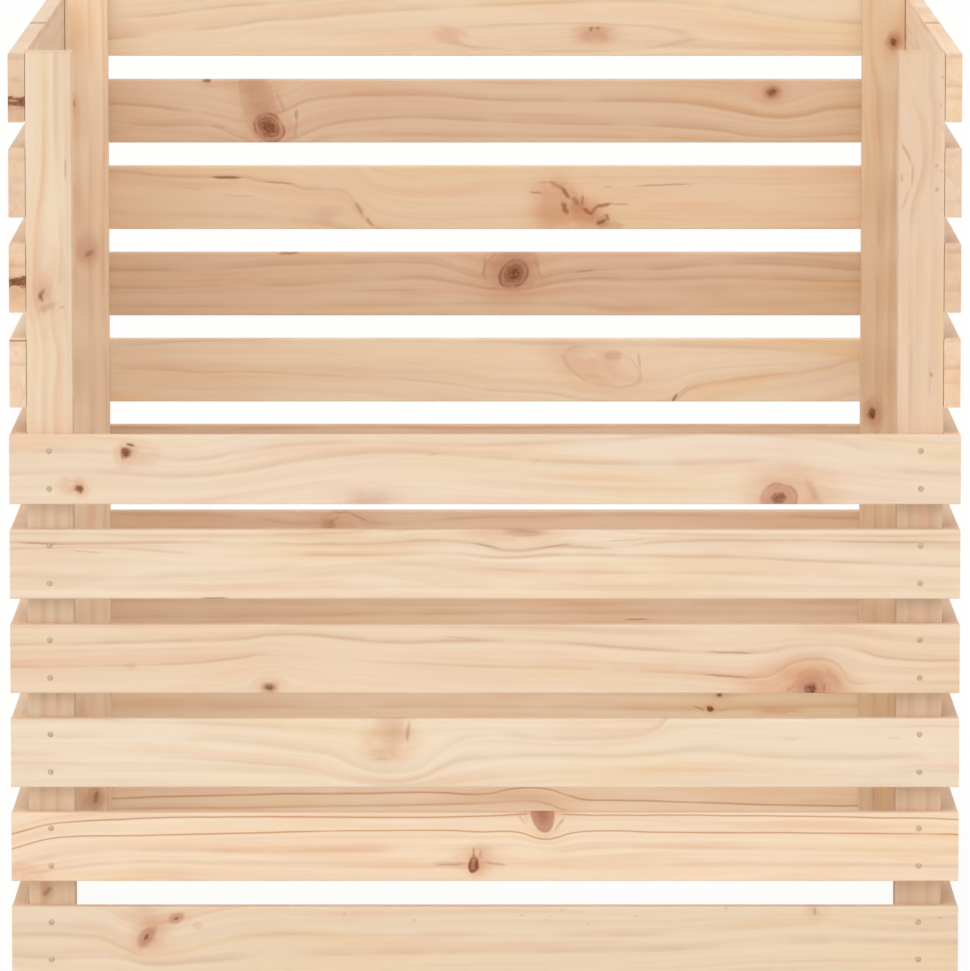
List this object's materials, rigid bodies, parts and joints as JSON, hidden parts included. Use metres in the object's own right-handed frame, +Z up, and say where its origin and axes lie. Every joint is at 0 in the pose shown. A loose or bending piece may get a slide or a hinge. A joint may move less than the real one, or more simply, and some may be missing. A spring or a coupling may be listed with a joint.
{
  "type": "slatted compost bin",
  "caption": "Square compost bin of nailed pine slats on corner posts, open at top and base, with a low slatted front for filling and emptying.",
  "frame": {"origin": "on the ground, at the middle of the bin's square plan", "axes": "+Z up, -Y towards the low front, +X to the right seen from the front"},
  "size_m": [0.8, 0.8, 0.7798],
  "materials": {
    "post_pine": "raw planed pine",
    "front_pine": "raw planed pine",
    "back_pine": "raw planed pine",
    "side_pine": "raw planed pine",
    "nail_steel": "dull zinc"
  },
  "bodies": {
    "root": {"post_front_left": "post_pine", "post_front_right": "post_pine", "post_back_left": "post_pine", "post_back_right": "post_pine", "front_slat_01": "front_pine", "front_slat_02": "front_pine", "front_slat_03": "front_pine", "front_slat_04": "front_pine", "front_slat_05": "front_pine", "front_slat_06": "front_pine", "back_slat_01": "back_pine", "back_slat_02": "back_pine", "back_slat_03": "back_pine", "back_slat_04": "back_pine", "back_slat_05": "back_pine", "back_slat_06": "back_pine", "back_slat_07": "back_pine", "back_slat_08": "back_pine", "back_slat_09": "back_pine", "back_slat_10": "back_pine", "left_slat_01": "side_pine", "left_slat_02": "side_pine", "left_slat_03": "side_pine", "left_slat_04": "side_pine", "left_slat_05": "side_pine", "left_slat_06": "side_pine", "left_slat_07": "side_pine", "left_slat_08": "side_pine", "left_slat_09": "side_pine", "left_slat_10": "side_pine", "right_slat_01": "side_pine", "right_slat_02": "side_pine", "right_slat_03": "side_pine", "right_slat_04": "side_pine", "right_slat_05": "side_pine", "right_slat_06": "side_pine", "right_slat_07": "side_pine", "right_slat_08": "side_pine", "right_slat_09": "side_pine", "right_slat_10": "side_pine"}
  },
  "joints": []
}
